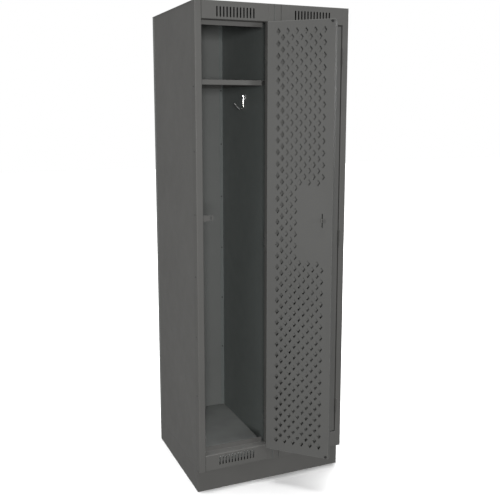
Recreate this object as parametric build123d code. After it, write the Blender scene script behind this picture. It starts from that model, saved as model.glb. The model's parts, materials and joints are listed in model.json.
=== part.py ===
from build123d import *
import os

# Two-column, single-tier steel locker on a low closed base.  Millimetres, +Z up.
# The origin is the centre of the footprint at floor level; the doors face -Y.
# Every piece is folded sheet steel, so most are one profile extruded along an axis.

inch = 25.4

# ---- driving dimensions ----
column_width = 12 * inch
depth = 21 * inch
height = 72 * inch
base_height = 3.625 * inch
base_setback = 28.0
base_flange = 15.0
brace_half = 12.0

sheet = 1.2                      # body sheet
gauge = 1.5                      # front frame and door sheet
bend = 1.2                       # inside radius of a fold

stile_width = 1 * inch
stile_leg = 39.0                 # side leg of a stile, back from the front face
jamb_depth = 30.0                # how far the stiles return into the opening
ledge_depth = 33.0               # how far the rails return, to the door stops
top_rail_height = 2.5 * inch
opening_bottom = 6.125 * inch
top_stop_drop = 16.0
bottom_stop_rise = 20.0
stop_inset = 9.0                 # the stops end this far inside the opening
roof_flange = 15.0               # the roof's flanges reach this far down

vent_count = 12
vent_pitch = 0.5 * inch
vent_length = 36.0
vent_width = 5.5
vent_above_base = 36.5           # centre of the lower vents above the base
vent_below_top = 37.0            # centre of the upper vents below the top

floor_level = 116.0
shelf_top = 1561.0
shelf_lip = 19.0
shelf_notch = 34.0               # the lip stops this far short of each wall

door_depth = 27.0                # double wall: a folded pan closed by a flat liner
liner_sheet = 1.0
liner_inset = 1.5                # the liner's edges stay this far inside the pan's
gap_latch = 3.0
gap_hinge = 3.3
gap_top = 3.2
pan_lip = 14.0                   # the pan's inner lips, which the liner lies on
open_angle = 135.0               # the left door stands open by this much

hole_pitch_x = 4 * inch / 3      # holes in one row of the door
hole_pitch_z = 5 * inch / 3      # rows of the same column set
hole_width = 16.0
hole_height = 24.0
hole_columns = 11                # counted over both staggered sets
hole_rows = 37
hole_from_hinge = 40.5           # first column of the liner
hole_from_top = 36.0
skin_shift = -hole_pitch_x / 4   # the outer skin's columns stand between the liner's
blank_first_row = 12.75          # rows left solid around the latch
blank_last_row = 19.25
blank_first_column = 5

pin_radius = 1.5
knuckle_radius = 3.2
knuckle_bore = pin_radius + 0.05
knuckle_count = 5
hinge_length = 60.0
hinge_from_end = 111.0           # hinge centre from the door's top or bottom
pin_forward = 6.0                # pin axis in front of the frame's face
pin_beside = 1.7                 # and this far past the jamb
leaf_gauge = 1.5
leaf_clear = 0.3

strike_height = 1062.0
strike_reach = 49.0
strike_tall = 22.0
strike_leg = 18.0                # the tab's leg, on the hidden side of the jamb
slot_from_jamb = 40.0
slot_width = 8.0
slot_tall = 18.0
blade_gauge = 3.0
slit_tall = 50.0
pull_tall = 100.0
pull_proud = 22.0

bumper_radius = 4.5
bumper_tall = 5.5
bumper_from_side = 10.0
bumper_from_end = 7.5

rivet_row_pitch = 9 * inch
rivet_rows = [850.0 + rivet_row_pitch * k for k in range(-2, 4)]
rivet_shank = 1.6
rivet_head = 3.2
rivet_dome = 1.1
rivet_slack = 0.05

hook_depth = 292.5               # from the front face to the hooks
hook_rivet_height = 1502.0
hook_wire = 3.0
hook_reach = 38.0

# ---- places worked out from them ----
front = -depth / 2
back = depth / 2
half = column_width              # the outer sides are at x = -half and +half
base_front_y = front + base_setback
opening_top = height - top_rail_height
door_bottom = opening_bottom + gap_top
door_top = opening_top - gap_top
wall_x = half - gauge            # outer face of each side panel
columns = {"left": -column_width / 2, "right": column_width / 2}
hinge_heights = [door_bottom + hinge_from_end, (door_bottom + door_top) / 2, door_top - hinge_from_end]
hinge_names = ["lower", "middle", "upper"]

parts = {}


# ---- helpers ----
def box(x, y, z):
    """A block from three (low, high) pairs."""
    size = [abs(b - a) for a, b in (x, y, z)]
    centre = [(a + b) / 2 for a, b in (x, y, z)]
    return Pos(*centre) * Box(*size)


def folded_face(points, thickness, plane):
    """Section of a folded sheet: points run along its outer skin, metal on their left."""
    outer = [Vector(*p) for p in points]
    steps = [(b - a).normalized() for a, b in zip(outer, outer[1:])]
    normals = [Vector(-s.Y, s.X) for s in steps]
    inner = [outer[0] + normals[0] * thickness]
    for a, b, corner in zip(normals, normals[1:], outer[1:]):
        inner.append(corner + (a + b) * (thickness / (1 + a.dot(b))))
    inner.append(outer[-1] + normals[-1] * thickness)
    face = Face(Wire.make_polygon(outer + inner[::-1], close=True))
    for i in range(1, len(outer) - 1):
        turn = steps[i - 1].X * steps[i].Y - steps[i - 1].Y * steps[i].X
        inside, outside = (inner[i], outer[i]) if turn > 0 else (outer[i], inner[i])
        for corner, radius in ((inside, bend), (outside, bend + thickness)):
            vertex = min(face.vertices(), key=lambda v: (Vector(v) - corner).length)
            face = face.fillet_2d(radius, [vertex])
    return plane * face


def fold_z(points, z0, z1, thickness):
    """Folded sheet standing upright: the section is in x, y."""
    face = folded_face(points, thickness, Plane.XY.offset(z0))
    return extrude(face, amount=z1 - z0, dir=(0, 0, 1))


def fold_x(points, x0, x1, thickness):
    """Folded sheet running across: the section is in y, z."""
    face = folded_face(points, thickness, Plane.YZ.offset(x0))
    return extrude(face, amount=x1 - x0, dir=(1, 0, 0))


def fold_y(points, y0, y1, thickness):
    """Folded sheet running front to back: the section is in x, z."""
    face = folded_face(points, thickness, Plane.XZ.offset(-y0))
    return extrude(face, amount=y1 - y0, dir=(0, 1, 0))


def rod(start, direction, radius, length):
    """A round bar from a point along a direction."""
    return Plane(origin=start, z_dir=direction) * Cylinder(
        radius, length, align=(Align.CENTER, Align.CENTER, Align.MIN))


def rivet(seat, outward, grip):
    """Domed blind rivet: its head sits on the seat, its shank goes back through the grip."""
    plane = Plane(origin=seat, z_dir=outward)
    shank = rod(seat, Vector(*outward) * -1, rivet_shank, grip)
    head = plane * Cylinder(rivet_head, rivet_dome, align=(Align.CENTER, Align.CENTER, Align.MIN))
    rim = head.edges().group_by(lambda e: plane.to_local_coords(e.center()).Z)[-1]
    return shank + fillet(rim, rivet_dome * 0.7)


def rivets(seats, outward, grip):
    """A set of the same rivet, and the drill that makes its holes."""
    made = [rivet(s, outward, grip) for s in seats]
    drill = [rod(Vector(*s) + Vector(*outward) * 0.5, Vector(*outward) * -1,
                 rivet_shank + rivet_slack, grip + 1.0) for s in seats]
    return made, drill


def vents(centre_x, centre_z):
    """Upright round-ended slots through the front face, centred on the column."""
    cutters = []
    for i in range(vent_count):
        x = centre_x + (i - (vent_count - 1) / 2) * vent_pitch
        straight = vent_length / 2 - vent_width / 2
        cutters.append(box((x - vent_width / 2, x + vent_width / 2), (front - 1, front + gauge + 1),
                           (centre_z - straight, centre_z + straight)))
        for end in (-straight, straight):
            cutters.append(rod((x, front - 1, centre_z + end), (0, 1, 0), vent_width / 2, gauge + 2))
    return cutters


# ---- base ----
def base_cross(y_face, inward):
    """Front or back of the base: an upright with flanges turned in at the top and bottom."""
    wall = box((-wall_x, wall_x), sorted((y_face, y_face + inward * sheet)), (0, base_height))
    reach = wall_x - base_flange - 1.5
    far = y_face + inward * base_flange
    lower = box((-reach, reach), sorted((y_face, far)), (0, sheet))
    upper = box((-reach, reach), sorted((y_face, far)), (base_height - sheet, base_height))
    shape = wall + lower + upper
    edges = shape.edges().filter_by(Axis.X).filter_by(
        lambda e: abs(e.center().Y - y_face) < 0.01 and e.length > 2 * reach)
    return fillet(edges, 1.0)


def base_side(side):
    """Left or right of the base, running front to back."""
    points = [(-wall_x + base_flange, base_height), (-wall_x, base_height),
              (-wall_x, 0), (-wall_x + base_flange, 0)]
    shape = fold_y(points, base_front_y + sheet, back - sheet, sheet)
    return shape if side < 0 else mirror(shape, Plane.YZ)


parts["base_front"] = base_cross(base_front_y, 1)
parts["base_back"] = base_cross(back, -1)
parts["base_left"] = base_side(-1)
parts["base_right"] = base_side(1)

# A channel under the seam between the columns carries the partition to the floor.
brace_points = [(brace_half, base_height), (-brace_half, base_height), (-brace_half, 0), (brace_half, 0)]
brace_ends = (base_front_y + base_flange + 1, back - base_flange - 1)
parts["base_centre_brace"] = fold_y(brace_points, *brace_ends, sheet)


# ---- carcase ----
body_top = height - sheet


def side_panel():
    """Side sheet with a stiffening flange behind the front stile."""
    points = [(-wall_x, back - sheet - bend - 0.3), (-wall_x, front + gauge + bend + 0.2),
              (-wall_x + 12, front + gauge + bend + 0.2)]
    return fold_z(points, base_height, body_top, sheet)


def back_panel():
    """Back sheet of the left column, lapped round the outside of the side panel."""
    points = [(-0.2, back), (-wall_x - sheet, back), (-wall_x - sheet, back - 22)]
    return fold_z(points, base_height, body_top, sheet)


def top_panel():
    """Roof of the left column, with flanges down behind the front rail and the back."""
    roof = box((-half, -0.2), (front, back), (body_top, height))
    long_edges = roof.edges().filter_by(Axis.X).group_by(Axis.Z)[-1]
    side_edge = roof.edges().filter_by(Axis.Y).group_by(Axis.Z)[-1].sort_by(Axis.X)[:1]
    roof = fillet(long_edges + side_edge, 1.0)
    drop = (height - roof_flange, body_top)
    front_flange = box((-half + 28, -28), (front + gauge + 0.2, front + gauge + 0.2 + sheet), drop)
    back_flange = box((-half + 8, -18), (back - 2 * sheet - 0.2, back - sheet - 0.2), drop)
    return roof + front_flange + back_flange


def partition():
    """Wall between the columns, its back edge folded along the back panel."""
    wall = box((-sheet / 2, sheet / 2), (front + 0.8, back - sheet), (base_height, body_top))
    flange = box((-15, 0), (back - 2 * sheet, back - sheet), (base_height, body_top))
    return wall + flange


def floor_pan(cx):
    """Floor of a column, folded down on all but its back edge."""
    x0 = -wall_x + sheet + 0.1 if cx < 0 else sheet / 2 + 0.1
    x1 = -sheet / 2 - 0.1 if cx < 0 else wall_x - sheet - 0.1
    y0 = front + stile_leg + 1
    y1 = back - 2 * sheet - 0.2
    drop = 14.0
    points = [(y1, floor_level - drop), (y1, floor_level), (y0, floor_level), (y0, floor_level - drop)]
    pan = fold_x(points, x0, x1, sheet)
    for a in (x0, x1 - sheet):
        pan += box((a, a + sheet), (y0 + 6, y1 - 6), (floor_level - drop, floor_level - sheet))
    return pan


def hat_shelf(cx):
    """Shelf with a hemmed front lip; the lip is notched back from both walls."""
    x0 = -wall_x + sheet + 0.1 if cx < 0 else sheet / 2 + 0.1
    x1 = -sheet / 2 - 0.1 if cx < 0 else wall_x - sheet - 0.1
    y0 = front + stile_leg + 1
    y1 = back - 2 * sheet - 0.2
    lip_x = (cx - column_width / 2 + shelf_notch, cx + column_width / 2 - shelf_notch)
    lip_bottom = shelf_top - shelf_lip
    lip = [(y0 + 30, shelf_top), (y0, shelf_top), (y0, lip_bottom), (y0 + 12, lip_bottom)]
    shelf = fold_x(lip, *lip_x, sheet)
    shelf += box((x0, x1), (y0 + 10, y1), (shelf_top - sheet, shelf_top))
    for a in (x0, x1 - sheet):
        shelf += box((a, a + sheet), (y0 + 16, y1 - 10), (shelf_top - 16, shelf_top - sheet))
    shelf += box((x0 + 6, x1 - 6), (y1 - sheet, y1), (shelf_top - 16, shelf_top - sheet))
    return shelf


parts["side_panel_left"] = side_panel()
parts["side_panel_right"] = mirror(side_panel(), Plane.YZ)
parts["back_panel_left"] = back_panel()
parts["back_panel_right"] = mirror(back_panel(), Plane.YZ)
parts["top_panel_left"] = top_panel()
parts["top_panel_right"] = mirror(top_panel(), Plane.YZ)
parts["centre_partition"] = partition()
for name, cx in columns.items():
    parts[f"floor_pan_{name}"] = floor_pan(cx)
    parts[f"hat_shelf_{name}"] = hat_shelf(cx)


# ---- front frame ----
def stile(x_outer, x_jamb):
    """Upright of the front frame: side leg, front face and jamb."""
    leg, jamb = front + stile_leg, front + jamb_depth
    if x_outer < x_jamb:
        points = [(x_outer, leg), (x_outer, front), (x_jamb, front), (x_jamb, jamb)]
    else:
        points = [(x_jamb, jamb), (x_jamb, front), (x_outer, front), (x_outer, leg)]
    return fold_z(points, base_height, body_top, gauge)


def rail(points, cx, vent_z, stop_z):
    """Cross member of the front frame: face with vents, ledge and door stop."""
    x0, x1 = cx - column_width / 2 + stile_width, cx + column_width / 2 - stile_width
    shape = fold_x(points, x0, x1, gauge)
    stop_y = (front + ledge_depth - 3, front + ledge_depth + 5)
    ends = [box((x0 - 1, x0 + stop_inset), stop_y, stop_z),
            box((x1 - stop_inset, x1 + 1), stop_y, stop_z)]
    return shape - (vents(cx, vent_z) + ends)


def strike(cx):
    """Slotted tab behind the closed door, its leg on the hidden side of the latch jamb."""
    jamb = cx - column_width / 2 + stile_width
    tab_back = front + jamb_depth + bend + gauge + 0.1
    leg_x = jamb - 2 * gauge
    points = [(jamb + strike_reach, tab_back), (leg_x, tab_back), (leg_x, tab_back - strike_leg)]
    z0, z1 = strike_height - strike_tall / 2, strike_height + strike_tall / 2
    tab = fold_z(points, z0, z1, gauge)
    x = jamb + slot_from_jamb
    slot = box((x - slot_width / 2, x + slot_width / 2), (tab_back - 4, tab_back + 1),
               (strike_height - slot_tall / 2, strike_height + slot_tall / 2))
    corners = tab.edges().filter_by(Axis.Y).filter_by(lambda e: e.center().X > jamb + strike_reach - 1)
    return fillet(corners, 3.0) - slot


for name, cx in columns.items():
    left_edge, right_edge = cx - column_width / 2, cx + column_width / 2
    outer_left = left_edge if name == "left" else sheet / 2
    outer_right = right_edge if name == "right" else -sheet / 2
    stop = front + ledge_depth
    top_points = [(front, body_top), (front, opening_top), (stop, opening_top),
                  (stop, opening_top - top_stop_drop)]
    bottom_points = [(stop, opening_bottom + bottom_stop_rise), (stop, opening_bottom),
                     (front, opening_bottom), (front, base_height), (front + 14, base_height)]
    parts[f"latch_stile_{name}"] = stile(outer_left, left_edge + stile_width)
    parts[f"hinge_stile_{name}"] = stile(outer_right, right_edge - stile_width)
    parts[f"top_rail_{name}"] = rail(top_points, cx, height - vent_below_top,
                                     (opening_top - top_stop_drop - 1, opening_top + 4))
    parts[f"bottom_rail_{name}"] = rail(bottom_points, cx, base_height + vent_above_base,
                                        (opening_bottom - 4, opening_bottom + bottom_stop_rise + 1))
    parts[f"strike_tab_{name}"] = strike(cx)


# ---- doors, made closed and then swung open where they stand open ----
def diamond(x, y, z):
    """Outline of one perforation."""
    a, b = hole_width / 2, hole_height / 2
    corners = [(x - a, z), (x, z - b), (x + a, z), (x, z + b)]
    return Wire.make_polygon([Vector(u, y, w) for u, w in corners], close=True)


def perforated_sheet(window, y, thickness, x_hinge, shift=0.0, first_set=0):
    """Flat sheet with staggered rows of diamonds and a solid patch around the latch."""
    x0, x1, z0, z1 = window
    holes = []
    for half_row in range(2 * hole_rows - 1):
        row = half_row / 2
        z = door_top - hole_from_top - row * hole_pitch_z
        for column in range((half_row + first_set) % 2, hole_columns, 2):
            if blank_first_row < row < blank_last_row and column >= blank_first_column:
                continue
            from_hinge = hole_from_hinge + shift + column * hole_pitch_x / 2
            holes.append(diamond(x_hinge - from_hinge, y, z))
    outline = Wire.make_polygon([Vector(x0, y, z0), Vector(x1, y, z0),
                                 Vector(x1, y, z1), Vector(x0, y, z1)], close=True)
    return extrude(Face(outline, holes), amount=thickness, dir=(0, 1, 0))


def door_edges(cx):
    """The closed door's latch side and hinge side."""
    opening_x = (cx - column_width / 2 + stile_width, cx + column_width / 2 - stile_width)
    return opening_x[0] + gap_latch, opening_x[1] - gap_hinge


def pull_slit(cx):
    """The cut in both walls of the door that the pull's blade and tongue pass through."""
    x = cx - column_width / 2 + stile_width + slot_from_jamb
    width = blade_gauge / 2 + 0.3
    return box((x - width, x + width), (front - 1, front + door_depth + 1),
               (strike_height - slit_tall / 2, strike_height + slit_tall / 2))


def door_pan(cx):
    """Outer wall of a door: a perforated pan with folded edges and inner lips."""
    x0, x1 = door_edges(cx)
    y0, y1 = front, front + door_depth - liner_sheet
    pan = box((x0, x1), (y0, y1), (door_bottom, door_top))
    pan = fillet(pan.edges().group_by(Axis.Y)[0], bend + gauge)
    hollow = box((x0 + gauge, x1 - gauge), (y0 + gauge, y1 - gauge),
                 (door_bottom + gauge, door_top - gauge))
    mouth = box((x0 + pan_lip, x1 - pan_lip), (y1 - gauge - 1, y1 + 1),
                (door_bottom + pan_lip, door_top - pan_lip))
    rim = 12.0
    window = (x0 + rim, x1 - rim, door_bottom + rim, door_top - rim)
    cut = box(window[:2], (y0 - 1, y0 + gauge + 1), window[2:])
    pan = pan - [hollow, mouth, cut]
    pan += perforated_sheet(window, front, gauge, x1, skin_shift, first_set=1)
    return pan - pull_slit(cx)


def door_liner(cx):
    """Inner wall of a door: a perforated sheet laid on the pan's lips."""
    x0, x1 = door_edges(cx)
    window = (x0 + liner_inset, x1 - liner_inset, door_bottom + liner_inset, door_top - liner_inset)
    liner = perforated_sheet(window, front + door_depth - liner_sheet, liner_sheet, x1)
    return liner - pull_slit(cx)


def pull(cx):
    """Pull plate: a blade through the door's slit whose tongue enters the strike's slot."""
    x = cx - column_width / 2 + stile_width + slot_from_jamb
    low, high = strike_height - pull_tall / 2, strike_height + pull_tall / 2
    section = [(x - blade_gauge / 2 - 13, front - pull_proud), (x + blade_gauge / 2, front - pull_proud),
               (x + blade_gauge / 2, front - 2), (x + 22, front - 2)]
    plate = fold_z(section, low, high, 2.0)
    through = box((x - blade_gauge / 2, x + blade_gauge / 2), (front - 6, front + 8),
                  (strike_height - slit_tall / 2 + 2, strike_height + slit_tall / 2 - 2))
    tongue = box((x - blade_gauge / 2, x + blade_gauge / 2), (front + 6, front + ledge_depth + 7),
                 (strike_height - 7, strike_height + 7))
    return plate + through + tongue


def bumpers(cx):
    """Rubber buttons on the liner's latch corners, one against each door stop."""
    x = cx - column_width / 2 + stile_width + gap_latch + bumper_from_side
    made = []
    for z in (door_bottom + bumper_from_end, door_top - bumper_from_end):
        button = rod((x, front + door_depth, z), (0, 1, 0), bumper_radius, bumper_tall)
        made.append(fillet(button.edges().group_by(Axis.Y)[-1], 2.5))
    return Compound(children=made)


def knuckles(x, z_mid, own):
    """The barrels of one leaf (own is 0 for the frame's, 1 for the door's)."""
    pitch = hinge_length / knuckle_count
    made = []
    for i in range(own, knuckle_count, 2):
        z = z_mid - hinge_length / 2 + i * pitch + leaf_clear / 2
        made.append(rod((x, front - pin_forward, z), (0, 0, 1), knuckle_radius, pitch - leaf_clear))
    return made


def leaf(cx, z_mid, own):
    """One leaf of a butt hinge: a plate with its barrels, bored for the pin."""
    jamb = cx + column_width / 2 - stile_width
    pin_x = jamb + pin_beside
    pin_y = front - pin_forward
    reach = jamb_depth - 1 if own == 0 else door_depth - 9
    x0 = jamb - leaf_gauge if own == 0 else jamb - gap_hinge
    z0, z1 = z_mid - hinge_length / 2, z_mid + hinge_length / 2
    plate = box((x0, x0 + leaf_gauge), (pin_y - leaf_gauge / 2, front + reach), (z0, z1))
    far = plate.edges().filter_by(Axis.X).group_by(Axis.Y)[-1]
    plate = fillet(far, 3.0)
    pitch = hinge_length / knuckle_count
    clearance = []
    tabs = []
    for i in range(knuckle_count):
        z = z0 + i * pitch
        if i % 2 == own:
            tabs.append(box((x0, pin_x), (pin_y - leaf_gauge / 2, pin_y + leaf_gauge / 2),
                            (z + leaf_clear / 2, z + pitch - leaf_clear / 2)))
        else:
            clearance.append(rod((pin_x, pin_y, z - leaf_clear / 2), (0, 0, 1),
                                 knuckle_radius + leaf_clear, pitch + leaf_clear))
    shape = plate - clearance
    shape = shape + knuckles(pin_x, z_mid, own) + tabs
    return shape - rod((pin_x, pin_y, z0 - 1), (0, 0, 1), knuckle_bore, hinge_length + 2)


def swing(shape, name):
    """Open the left door about its pins; the right door stays shut."""
    if name == "right":
        return shape
    pin_x = columns[name] + column_width / 2 - stile_width + pin_beside
    return shape.rotate(Axis((pin_x, front - pin_forward, 0), (0, 0, 1)), open_angle)


frame_hinge_rivets = []
for name, cx in columns.items():
    jamb = cx + column_width / 2 - stile_width
    pan = door_pan(cx)
    pins = []
    door_rivets = []
    for hinge, z in zip(hinge_names, hinge_heights):
        seats = [(jamb - leaf_gauge, front + 24, z + d) for d in (-15, 15)]
        made, drill = rivets(seats, (-1, 0, 0), leaf_gauge + gauge + 1)
        frame_hinge_rivets += made
        parts[f"{name}_{hinge}_frame_leaf"] = leaf(cx, z, 0) - drill
        parts[f"hinge_stile_{name}"] -= drill
        seats = [(jamb - gap_hinge - gauge, front + 10, z + d) for d in (-18, 18)]
        door_rivets += rivets(seats, (-1, 0, 0), leaf_gauge + gauge)[0]
        bores = [rod((x - 1, y, up), (1, 0, 0), rivet_shank + rivet_slack, 5) for x, y, up in seats]
        parts[f"{name}_{hinge}_door_leaf"] = swing(leaf(cx, z, 1) - bores, name)
        pan -= bores
        pins.append(rod((jamb + pin_beside, front - pin_forward, z - hinge_length / 2), (0, 0, 1),
                        pin_radius, hinge_length))
    x_rivet = cx - column_width / 2 + stile_width + slot_from_jamb + 13
    seats = [(x_rivet, front - 2, strike_height + d) for d in (-38, 38)]
    made, drill = rivets(seats, (0, -1, 0), 2 + gauge + 1)
    pan -= drill
    parts[f"{name}_pull"] = swing(pull(cx) - drill, name)
    parts[f"{name}_pull_rivets"] = swing(Compound(children=made), name)
    parts[f"{name}_door_hinge_rivets"] = swing(Compound(children=door_rivets), name)
    parts[f"{name}_hinge_pins"] = Compound(children=pins)
    parts[f"{name}_door"] = swing(pan, name)
    parts[f"{name}_door_liner"] = swing(door_liner(cx), name)
    parts[f"{name}_door_bumpers"] = swing(bumpers(cx), name)
parts["frame_hinge_rivets"] = Compound(children=frame_hinge_rivets)


# ---- coat hooks ----
def hook(x_wall, into):
    """Single-prong hook: a wall plate with a bent wire that ends in a ball."""
    y = front + hook_depth
    z = hook_rivet_height
    plate = box(sorted((x_wall, x_wall + into * 2)), (y - 20, y + 20), (z - 8, z + 14))
    plate = fillet(plate.edges().filter_by(Axis.X), 4.0)
    x = x_wall + into * (hook_wire - 0.4)
    route = [(x, y, z + 10), (x, y, z - 38), (x + into * 16, y, z - 46),
             (x_wall + into * hook_reach, y, z - 24)]
    path = FilletPolyline(*route, radius=7)
    wire = sweep(Plane(origin=path @ 0, z_dir=path % 0) * Circle(hook_wire), path=path)
    end = Pos(*route[-1]) * Sphere(hook_wire + 1.6)
    top = Pos(*route[0]) * Sphere(hook_wire)
    solid = plate + wire + end + top
    return solid - box(sorted((x_wall, x_wall - into * 10)), (y - 30, y + 30), (z - 80, z + 40))


inner_walls = {"left": (-wall_x + sheet, -sheet / 2), "right": (sheet / 2, wall_x - sheet)}
hook_rivets = []
shelf_rivets = []
for name, (x_left, x_right) in inner_walls.items():
    made_hooks = []
    for x_wall, into in ((x_left, 1), (x_right, -1)):
        seats = [(x_wall + into * 2, front + hook_depth + d, hook_rivet_height) for d in (-12.5, 12.5)]
        made, drill = rivets(seats, (into, 0, 0), 2 + sheet / 2 - 0.05)
        hook_rivets += made
        made_hooks.append(hook(x_wall, into) - drill)
        outer_wall = abs(x_wall) > column_width / 2
        wall = f"side_panel_{name}" if outer_wall else "centre_partition"
        parts[wall] -= drill
        seats = [(x_wall + into * (sheet + 0.1), front + d, shelf_top - 9) for d in (121, 412)]
        made, drill = rivets(seats, (into, 0, 0), sheet + 0.1 + sheet / 2 - 0.05)
        shelf_rivets += made
        parts[f"hat_shelf_{name}"] -= drill
        parts[wall] -= drill
    parts[f"coat_hooks_{name}"] = Compound(children=made_hooks)
parts["hook_rivets"] = Compound(children=hook_rivets)
parts["shelf_rivets"] = Compound(children=shelf_rivets)


# ---- rows of rivets up the carcase ----
for name, side in (("left", -1), ("right", 1)):
    group = []
    frame_piece = "latch_stile_left" if side < 0 else "hinge_stile_right"
    for y, x_face, outer_piece, grip in ((front + 20, half, frame_piece, gauge + sheet),
                                         (back - 11, wall_x + sheet, f"back_panel_{name}", 2 * sheet)):
        seats = [(side * x_face, y, z) for z in rivet_rows]
        made, drill = rivets(seats, (side, 0, 0), grip + 1)
        group += made
        parts[outer_piece] -= drill
        parts[f"side_panel_{name}"] -= drill
    parts[f"side_rivets_{name}"] = Compound(children=group)

seats = [(-8, back - 2 * sheet, z) for z in rivet_rows]
made, drill = rivets(seats, (0, -1, 0), 2 * sheet)
parts["centre_partition"] -= drill
parts["back_panel_left"] -= drill
parts["partition_rivets"] = Compound(children=made)

os.makedirs("parts", exist_ok=True)
for node, shape in parts.items():
    export_step(shape, f"parts/{node}.step")
print(len(parts), "nodes")
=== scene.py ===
import json
import math

import bpy
from mathutils import Euler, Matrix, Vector


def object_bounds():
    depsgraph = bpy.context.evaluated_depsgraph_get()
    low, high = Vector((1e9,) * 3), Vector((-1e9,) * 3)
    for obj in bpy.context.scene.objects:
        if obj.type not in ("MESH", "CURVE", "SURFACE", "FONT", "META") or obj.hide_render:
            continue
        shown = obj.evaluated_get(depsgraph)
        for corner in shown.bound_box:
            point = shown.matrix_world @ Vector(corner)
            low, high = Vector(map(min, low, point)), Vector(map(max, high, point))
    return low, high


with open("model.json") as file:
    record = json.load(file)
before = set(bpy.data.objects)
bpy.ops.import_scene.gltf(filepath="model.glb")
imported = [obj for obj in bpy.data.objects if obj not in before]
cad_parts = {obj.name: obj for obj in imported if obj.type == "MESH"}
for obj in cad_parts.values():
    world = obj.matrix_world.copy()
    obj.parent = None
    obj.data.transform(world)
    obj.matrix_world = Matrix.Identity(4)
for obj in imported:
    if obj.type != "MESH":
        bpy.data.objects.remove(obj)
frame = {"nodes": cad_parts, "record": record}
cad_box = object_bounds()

# Camera: in front of the doors and to their left, 1.45 m up, turned right and down. Degrees and millimetres.
CAMERA_AT = (-1.129, -2.692, 1.449)
CAMERA_YAW = 23.04
CAMERA_PITCH = -8.97
CAMERA_LENS = 51.9
CAMERA_SHIFT = -0.05
SENSOR = 36.0

# Soft lights, all aimed at the middle of the object: place, side of the square in metres, power in watts.
SOFTBOXES = {
    "key": ((-1.9, -5.2, 1.5), 0.7, 140.0),
    "front_fill": ((2.4, -5.0, 1.8), 1.2, 34.0),
    "left_fill": ((-5.0, -0.68, 1.6), 0.4, 54.0),
    "back_fill": ((3.4, 3.6, 2.4), 2.6, 150.0),
}
# Light from straight above: watts per square metre, and how wide it looks from below in degrees.
OVERHEAD_STRENGTH = 4.6
OVERHEAD_SPREAD = 40
# White surroundings: how strongly they light the object, and how bright they look behind it.
WORLD_LIT = 0.27
WORLD_SEEN = 1.0
WHITE = (1.0, 1.0, 1.0, 1.0)
FLOOR_HALF = 15.0
FLOOR_TONES = ((0.86, 0.86, 0.86, 1.0), (0.90, 0.90, 0.90, 1.0))

# Finishes: linear colour of each painted slot, and how strongly dust shows on what faces up.
PAINTS = {
    "base_paint": ((0.106, 0.105, 0.100), 0.10),
    "carcase_paint": ((0.112, 0.111, 0.106), 0.10),
    "frame_paint": ((0.106, 0.105, 0.100), 0.05),
    # The doors' coat is painted a little darker than the frame: painted shade that offsets the stronger light
    # falling on the doors.
    "door_paint": ((0.098, 0.098, 0.094), 0.05),
    "shelf_paint": ((0.114, 0.113, 0.108), 0.12),
    "pull_paint": ((0.116, 0.115, 0.110), 0.05),
    "rivet_paint": ((0.052, 0.054, 0.053), 0.05),
}

# Direction that the inner side of each outer door skin faces at rest: that side is painted paler, painted
# light in place of the light that the shaded cavity between the skins doesn't get.
PAINTED_LIGHT_SKIN_SIDES = {
    "left_door": (-0.7071, -0.7071, 0.0),
    "right_door": (0.0, 1.0, 0.0),
}

# Sheets that close the columns, by the start of their nodes' names: cooler, and painted paler than the
# outside, painted light in place of the light that doesn't reach into the columns. The floor pan also gets
# much of the dust colour: partly dust and partly painted light from above.
PAINTED_LIGHT_SHEETS = {
    "back_panel": ((0.174, 0.180, 0.174), 0.10),
    "centre_partition": ((0.164, 0.180, 0.174), 0.10),
    "floor_pan": ((0.166, 0.176, 0.171), 0.62),
}
# Dust colour; on the floor pan's upward face it is also painted light from above.
DUST_AND_TOP_LIGHT = (0.40, 0.41, 0.40, 1.0)

# Metals and rubber: pairs of linear colours that the finish wanders between.
ZINC = ((0.74, 0.76, 0.79, 1.0), (0.82, 0.80, 0.74, 1.0))
STEEL = ((0.44, 0.44, 0.43, 1.0), (0.2, 0.19, 0.175, 1.0))
RUBBER = ((0.012, 0.012, 0.012, 1.0), (0.03, 0.03, 0.03, 1.0))

# Depths of relief in metres.
SHEET_WAVES = 0.0004
ORANGE_PEEL = 0.00006
RUBBED_EDGE = 0.0012


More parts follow.
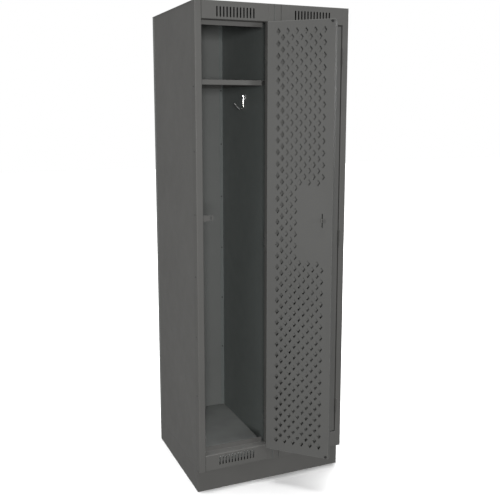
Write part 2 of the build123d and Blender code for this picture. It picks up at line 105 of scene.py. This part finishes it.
class Tree:
    """The node tree of a new material, with short calls for the nodes that the finishes share."""

    def __init__(self, name):
        self.material = bpy.data.materials.new(name)
        self.material.use_nodes = True
        self.nodes = self.material.node_tree.nodes
        self.links = self.material.node_tree.links
        self.shader = self.nodes["Principled BSDF"]
        coordinates = self.nodes.new("ShaderNodeTexCoord")
        self.place = coordinates.outputs["Object"]
        self.normal = coordinates.outputs["Normal"]

    def add(self, kind, inputs=None, **settings):
        """A node with its settings made, and each named input linked or set."""
        node = self.nodes.new(kind)
        for name, value in settings.items():
            setattr(node, name, value)
        for name, value in (inputs or {}).items():
            self.feed(node.inputs[name], value)
        return node

    def feed(self, socket, value):
        if isinstance(value, bpy.types.NodeSocket):
            self.links.new(value, socket)
        else:
            socket.default_value = value

    def noise(self, scale, detail=3.0, roughness=0.5, stretch=None):
        """Noise fixed to the object, from 0 to 1. A stretch multiplies its scale along x, y and z."""
        place = self.place
        if stretch:
            mapping = self.add("ShaderNodeMapping", {"Vector": place, "Scale": stretch})
            place = mapping.outputs["Vector"]
        inputs = {"Vector": place, "Scale": scale, "Detail": detail, "Roughness": roughness}
        return self.add("ShaderNodeTexNoise", inputs).outputs["Fac"]

    def span(self, value, low, high, start=0.0, end=1.0):
        """The value, carried over from start..end to low..high."""
        inputs = {"Value": value, "From Min": start, "From Max": end, "To Min": low, "To Max": high}
        return self.add("ShaderNodeMapRange", inputs).outputs["Result"]

    def math(self, operation, a, b):
        node = self.add("ShaderNodeMath", operation=operation)
        self.feed(node.inputs[0], a)
        self.feed(node.inputs[1], b)
        return node.outputs["Value"]

    def mix(self, share, a, b):
        """Colour a turning into b as share goes from 0 to 1."""
        node = self.add("ShaderNodeMix", data_type="RGBA")
        self.feed(node.inputs[0], share)
        self.feed(node.inputs[6], a)
        self.feed(node.inputs[7], b)
        return node.outputs[2]

    def edges(self, radius):
        """About 1 along sharp edges and 0 on flat faces."""
        rounded = self.add("ShaderNodeBevel", {"Radius": radius}, samples=6).outputs["Normal"]
        flat = self.add("ShaderNodeNewGeometry").outputs["Normal"]
        alike = self.add("ShaderNodeVectorMath", operation="DOT_PRODUCT")
        self.links.new(rounded, alike.inputs[0])
        self.links.new(flat, alike.inputs[1])
        return self.span(alike.outputs["Value"], 1.0, 0.0, 0.75, 0.995)

    def facing_up(self):
        """1 on faces that look up, 0 on the rest."""
        normal = self.add("ShaderNodeNewGeometry").outputs["Normal"]
        upright = self.add("ShaderNodeSeparateXYZ", {"Vector": normal}).outputs["Z"]
        return self.span(upright, 0.0, 1.0, 0.7, 0.95)

    def facing(self, direction):
        """1 on faces that look along the direction, 0 on the rest."""
        alike = self.add("ShaderNodeVectorMath", operation="DOT_PRODUCT")
        self.feed(alike.inputs[0], self.normal)
        self.feed(alike.inputs[1], direction)
        return self.span(alike.outputs["Value"], 0.0, 1.0, 0.8, 0.95)

    def bump(self, height, distance, normal=None):
        inputs = {"Height": height, "Distance": distance, "Strength": 1.0}
        if normal:
            inputs["Normal"] = normal
        return self.add("ShaderNodeBump", inputs).outputs["Normal"]


def grey(colour, factor):
    """The colour made lighter or darker, with full opacity."""
    return tuple(channel * factor for channel in colour) + (1.0,)


def powder_coat(name, colour, dust_and_top_light, painted_light_side=None):
    """Satin powder coat on sheet steel: orange peel, clouds, slow waves of the sheet, rubbed edges, and dust
    on upward faces, which on the floor pan is also painted light from above.

    painted_light_side is a direction: faces that look along it are painted lighter, painted light in place of
    the light that doesn't reach them.
    """
    tree = Tree(name)
    clouds = tree.noise(3.2, detail=4.0, roughness=0.6)
    speckle = tree.noise(420.0, detail=2.0)
    tone = tree.mix(tree.span(clouds, 0.0, 1.0, 0.25, 0.75), grey(colour, 0.93), grey(colour, 1.06))
    tone = tree.mix(tree.span(speckle, 0.0, 0.35, 0.55, 0.8), tone, grey(colour, 1.22))
    # Painted light: faces along the given direction get a 1.6 times paler coat.
    if painted_light_side:
        tone = tree.mix(tree.facing(painted_light_side), tone, grey(colour, 1.6))
    wear = tree.span(tree.noise(38.0), 0.0, 0.5, 0.42, 0.7)
    rubbed = tree.math("MULTIPLY", tree.edges(RUBBED_EDGE), wear)
    tone = tree.mix(rubbed, tone, grey(colour, 1.3))
    # Upward faces are mixed towards the dust colour: dust, and where the amount is large, as on the floor
    # pan, also painted light from above.
    dust_and_top_light_drifts = tree.span(tree.noise(9.0, 5.0), 0.6 * dust_and_top_light, dust_and_top_light, 0.3, 0.7)
    dust_and_top_light_mask = tree.math("MULTIPLY", tree.facing_up(), dust_and_top_light_drifts)
    tone = tree.mix(dust_and_top_light_mask, tone, DUST_AND_TOP_LIGHT)
    tree.feed(tree.shader.inputs["Base Color"], tone)
    gloss = tree.span(tree.noise(14.0, detail=5.0, roughness=0.65), 0.44, 0.56, 0.3, 0.7)
    dulled = tree.math("MULTIPLY", dust_and_top_light_mask, 0.8)
    tree.feed(tree.shader.inputs["Roughness"], tree.math("ADD", gloss, dulled))
    tree.shader.inputs["Specular IOR Level"].default_value = 0.42
    waves = tree.bump(tree.noise(4.5, detail=1.0), SHEET_WAVES)
    peel = tree.bump(tree.noise(620.0, detail=1.5), ORANGE_PEEL, waves)
    tree.feed(tree.shader.inputs["Normal"], peel)
    return tree.material


def zinc_plate(name):
    """Bright zinc: mirror-like with a faint yellow-blue bloom and drawing lines."""
    tree = Tree(name)
    bloom = tree.span(tree.noise(55.0, detail=3.0), 0.0, 1.0, 0.35, 0.65)
    tree.feed(tree.shader.inputs["Base Color"], tree.mix(bloom, *ZINC))
    tree.shader.inputs["Metallic"].default_value = 1.0
    tree.feed(tree.shader.inputs["Roughness"], tree.span(tree.noise(160.0), 0.16, 0.34, 0.3, 0.7))
    lines = tree.noise(900.0, detail=1.0, stretch=(1.0, 1.0, 0.08))
    tree.feed(tree.shader.inputs["Normal"], tree.bump(lines, 0.00003))
    return tree.material


def bare_steel(name):
    """Drawn steel pin: lengthwise brush marks and darker oil stains."""
    tree = Tree(name)
    lines = tree.noise(1400.0, detail=1.0, stretch=(1.0, 1.0, 0.03))
    stains = tree.span(tree.noise(70.0), 0.0, 0.6, 0.45, 0.7)
    tree.feed(tree.shader.inputs["Base Color"], tree.mix(stains, *STEEL))
    tree.shader.inputs["Metallic"].default_value = 1.0
    tree.feed(tree.shader.inputs["Roughness"], tree.span(lines, 0.3, 0.5))
    tree.feed(tree.shader.inputs["Normal"], tree.bump(lines, 0.00004))
    return tree.material


def rubber(name):
    """Black moulded rubber: matt, with a fine grain and a grey bloom in patches."""
    tree = Tree(name)
    bloom = tree.span(tree.noise(130.0, detail=4.0), 0.0, 0.7, 0.4, 0.75)
    tree.feed(tree.shader.inputs["Base Color"], tree.mix(bloom, *RUBBER))
    tree.feed(tree.shader.inputs["Roughness"], tree.span(bloom, 0.62, 0.8))
    tree.shader.inputs["Specular IOR Level"].default_value = 0.3
    tree.feed(tree.shader.inputs["Normal"], tree.bump(tree.noise(2200.0), 0.00005))
    return tree.material


def finish_nodes():
    """Gives every CAD node its material slot's finish, or its own if it is a door skin or an inside sheet."""
    looks = {slot: powder_coat("look_" + slot, *paint) for slot, paint in PAINTS.items()}
    looks["hook_zinc"] = zinc_plate("look_hook_zinc")
    looks["pin_steel"] = bare_steel("look_pin_steel")
    looks["bumper_rubber"] = rubber("look_bumper_rubber")
    # Inside sheets: paler coats, painted light for the light that doesn't reach into the columns.
    inside = {stem: powder_coat("look_" + stem, *paint) for stem, paint in PAINTED_LIGHT_SHEETS.items()}
    # Door skins: their inner sides are painted paler, painted light for the shaded cavity between the skins.
    skins = {}
    for node, side in PAINTED_LIGHT_SKIN_SIDES.items():
        skins[node] = powder_coat("look_" + node, *PAINTS["door_paint"], side)
    for row in frame["record"]["subparts"]:
        look = skins.get(row["node"], looks[row["material_slot"]])
        for stem in inside:
            if row["node"].startswith(stem):
                look = inside[stem]
        for slot in frame["nodes"][row["node"]].material_slots:
            slot.material = look


def pale_floor():
    """A wide white floor, which isn't part of the object and throws no light back on it."""
    half = FLOOR_HALF
    corners = [(-half, -half, 0), (half, -half, 0), (half, half, 0), (-half, half, 0)]
    mesh = bpy.data.meshes.new("floor")
    mesh.from_pydata(corners, [], [(0, 1, 2, 3)])
    floor = bpy.data.objects.new("floor", mesh)
    bpy.context.scene.collection.objects.link(floor)
    tree = Tree("look_floor")
    tree.feed(tree.shader.inputs["Base Color"], tree.mix(tree.noise(0.8), *FLOOR_TONES))
    tree.shader.inputs["Roughness"].default_value = 0.9
    mesh.materials.append(tree.material)
    floor.visible_diffuse = False
    floor.visible_glossy = False


def softbox(name, at, aim, size, power):
    """A square area light at a point, turned towards another."""
    data = bpy.data.lights.new(name, "AREA")
    data.shape = "SQUARE"
    data.size = size
    data.energy = power
    light = bpy.data.objects.new(name, data)
    light.location = at
    light.rotation_euler = (Vector(aim) - Vector(at)).to_track_quat("-Z", "Y").to_euler()
    bpy.context.scene.collection.objects.link(light)


def studio():
    """White surroundings, a key beyond the camera, fills all round and a broad light overhead."""
    world = bpy.data.worlds.new("studio")
    bpy.context.scene.world = world
    world.use_nodes = True
    nodes, links = world.node_tree.nodes, world.node_tree.links
    lit = nodes["Background"]
    lit.inputs["Color"].default_value = WHITE
    lit.inputs["Strength"].default_value = WORLD_LIT
    seen = nodes.new("ShaderNodeBackground")
    seen.inputs["Color"].default_value = WHITE
    seen.inputs["Strength"].default_value = WORLD_SEEN
    either = nodes.new("ShaderNodeMixShader")
    links.new(nodes.new("ShaderNodeLightPath").outputs["Is Camera Ray"], either.inputs[0])
    links.new(lit.outputs[0], either.inputs[1])
    links.new(seen.outputs[0], either.inputs[2])
    links.new(either.outputs[0], nodes["World Output"].inputs["Surface"])
    middle = (cad_box[0] + cad_box[1]) / 2
    for name, (at, size, power) in SOFTBOXES.items():
        softbox(name, at, middle, size, power)
    overhead = bpy.data.lights.new("overhead", "SUN")
    overhead.energy = OVERHEAD_STRENGTH
    overhead.angle = math.radians(OVERHEAD_SPREAD)
    bpy.context.scene.collection.objects.link(bpy.data.objects.new("overhead", overhead))


def camera():
    """The photographer's viewpoint."""
    data = bpy.data.cameras.new("camera")
    data.sensor_width = SENSOR
    data.lens = CAMERA_LENS
    data.shift_y = CAMERA_SHIFT
    eye = bpy.data.objects.new("camera", data)
    eye.location = CAMERA_AT
    eye.rotation_euler = Euler((math.radians(90 + CAMERA_PITCH), 0, math.radians(-CAMERA_YAW)))
    bpy.context.scene.collection.objects.link(eye)
    bpy.context.scene.camera = eye


finish_nodes()
pale_floor()
studio()
camera()
bpy.context.scene.view_settings.view_transform = "Standard"
